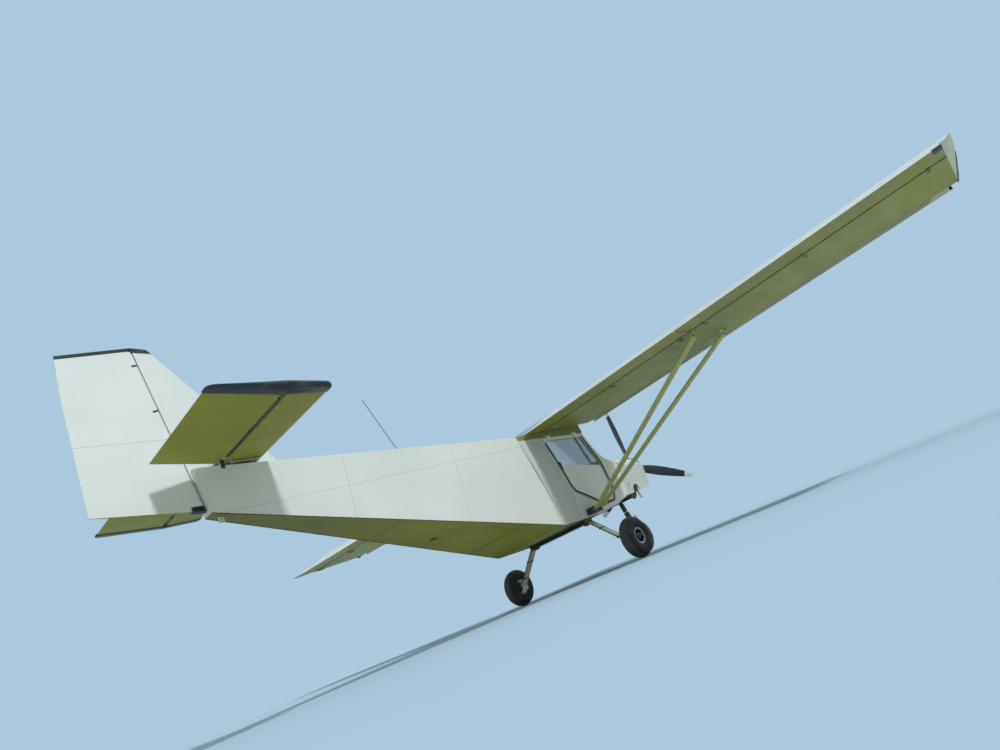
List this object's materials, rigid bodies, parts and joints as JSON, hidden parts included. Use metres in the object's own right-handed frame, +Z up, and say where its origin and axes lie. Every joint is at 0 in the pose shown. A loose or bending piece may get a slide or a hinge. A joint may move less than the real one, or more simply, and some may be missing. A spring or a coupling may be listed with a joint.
{
  "type": "ultralight aircraft",
  "caption": "Two-seat all-metal high-wing ultralight aircraft with fixed slats, braced wing and tricycle gear, parked.",
  "frame": {"origin": "on the ground under the middle of the overall length, on the centre line", "axes": "+X forward along the fuselage, +Y to port along the span, +Z up"},
  "size_m": [6.383, 9.2242, 2.7375],
  "materials": {
    "skin_white": "painted sheet, satin, faintly oil-canned",
    "underside_olive": "satin",
    "strut_khaki": "painted, satin",
    "trim_black": "matt",
    "clear_glazing": "clear sheet",
    "tyre_rubber": "matt rubber",
    "rim_grey": "cast, satin",
    "gear_metal": "satin",
    "dark_metal": "painted, satin",
    "engine_metal": "cast",
    "exhaust_steel": "heat tinted",
    "seat_fabric": "woven",
    "cabin_grey": "satin",
    "propeller_black": "satin",
    "lamp_orange": "glossy lens"
  },
  "bodies": {
    "airframe": {"rear_fuselage": "skin_white", "cabin_floor": "underside_olive", "door_sills": "skin_white", "rear_sides": "skin_white", "quarter_windows": "clear_glazing", "forward_sides": "skin_white", "scuttle_deck": "skin_white", "firewall": "cabin_grey", "roof_ribs": "skin_white", "roof_window": "clear_glazing", "windscreen": "clear_glazing", "instrument_panel": "cabin_grey", "seat_cushions": "seat_fabric", "seat_backs": "seat_fabric", "seat_frames": "dark_metal", "control_stick": "dark_metal", "cowl_upper": "skin_white", "cowl_lower": "skin_white", "engine_block": "engine_metal", "exhaust": "exhaust_steel", "nose_leg_housing": "dark_metal", "main_gear_spring": "gear_metal", "gear_beam": "dark_metal", "strut_brackets": "dark_metal", "front_struts": "strut_khaki", "rear_struts": "strut_khaki", "wing_left": "skin_white", "wing_right": "skin_white", "wing_tips": "skin_white", "slat_left": "skin_white", "slat_right": "skin_white", "stabilizer": "skin_white", "fin": "skin_white", "antenna": "trim_black", "pitot_tube": "gear_metal", "chin_lamp": "lamp_orange"},
    "propeller_unit": {"propeller": "propeller_black", "spinner": "skin_white"},
    "nose_steering": {"nose_fork": "gear_metal"},
    "nose_wheel": {"nose_tyre": "tyre_rubber", "nose_rim": "rim_grey"},
    "main_wheel_left": {"main_tyre_left": "tyre_rubber", "main_rim_left": "rim_grey"},
    "main_wheel_right": {"main_tyre_right": "tyre_rubber", "main_rim_right": "rim_grey"},
    "door_left": {"door_frame_left": "trim_black", "door_window_left": "clear_glazing"},
    "door_right": {"door_frame_right": "trim_black", "door_window_right": "clear_glazing"},
    "flap_body_left": {"flap_left": "skin_white"},
    "flap_body_right": {"flap_right": "skin_white"},
    "aileron_body_left": {"aileron_left": "skin_white"},
    "aileron_body_right": {"aileron_right": "skin_white"},
    "elevator_body": {"elevator": "skin_white", "trim_tab": "trim_black"},
    "rudder_body": {"rudder": "skin_white"}
  },
  "joints": [
    {"name": "propeller_spin", "type": "hinge", "parent": "airframe", "child": "propeller_unit", "pos_m": [2.9765, 0, 1.06], "axis": [1, 0, 0], "continuous": true},
    {"name": "nose_steer", "type": "hinge", "parent": "airframe", "child": "nose_steering", "pos_m": [2.4705, 0, 0.2], "axis": [-0.2334, 0, 0.9724], "range_deg": [-20, 20]},
    {"name": "nose_wheel_spin", "type": "hinge", "parent": "nose_steering", "child": "nose_wheel", "pos_m": [2.4705, 0, 0.2], "axis": [0, 1, 0], "continuous": true},
    {"name": "main_wheel_spin_left", "type": "hinge", "parent": "airframe", "child": "main_wheel_left", "pos_m": [1.0415, 0.858, 0.2], "axis": [0, 1, 0], "continuous": true},
    {"name": "main_wheel_spin_right", "type": "hinge", "parent": "airframe", "child": "main_wheel_right", "pos_m": [1.0415, -0.858, 0.2], "axis": [0, 1, 0], "continuous": true},
    {"name": "door_swing_left", "type": "hinge", "parent": "airframe", "child": "door_left", "pos_m": [1.0415, 0.568, 1.446], "axis": [1, 0, 0], "range_deg": [0, 80]},
    {"name": "door_swing_right", "type": "hinge", "parent": "airframe", "child": "door_right", "pos_m": [1.0415, -0.568, 1.446], "axis": [-1, 0, 0], "range_deg": [0, 80]},
    {"name": "flap_swing_left", "type": "hinge", "parent": "airframe", "child": "flap_body_left", "pos_m": [0.71335, 1.49798, 1.56647], "axis": [0, -0.9997, -0.0236], "range_deg": [0, 38]},
    {"name": "flap_swing_right", "type": "hinge", "parent": "airframe", "child": "flap_body_right", "pos_m": [0.71335, -1.49798, 1.56647], "axis": [0, -0.9997, 0.0236], "range_deg": [0, 38]},
    {"name": "aileron_swing_left", "type": "hinge", "parent": "airframe", "child": "aileron_body_left", "pos_m": [0.71335, 3.49742, 1.61359], "axis": [0, 0.9997, 0.0236], "range_deg": [-20, 20]},
    {"name": "aileron_swing_right", "type": "hinge", "parent": "airframe", "child": "aileron_body_right", "pos_m": [0.71335, -3.49742, 1.61359], "axis": [0, 0.9997, -0.0236], "range_deg": [-20, 20]},
    {"name": "elevator_swing", "type": "hinge", "parent": "airframe", "child": "elevator_body", "pos_m": [-2.3315, 0, 1.757], "axis": [0, 1, 0], "range_deg": [-25, 25]},
    {"name": "rudder_swing", "type": "hinge", "parent": "airframe", "child": "rudder_body", "pos_m": [-2.4785, 0, 1.432], "axis": [-0.2052, 0, 0.9787], "range_deg": [-20, 20]}
  ],
  "couplings": [
    {"joint": "flap_swing_right", "follows": "flap_swing_left", "ratio": 1},
    {"joint": "aileron_swing_right", "follows": "aileron_swing_left", "ratio": -1},
    {"joint": "rudder_swing", "follows": "nose_steer", "ratio": -1}
  ]
}
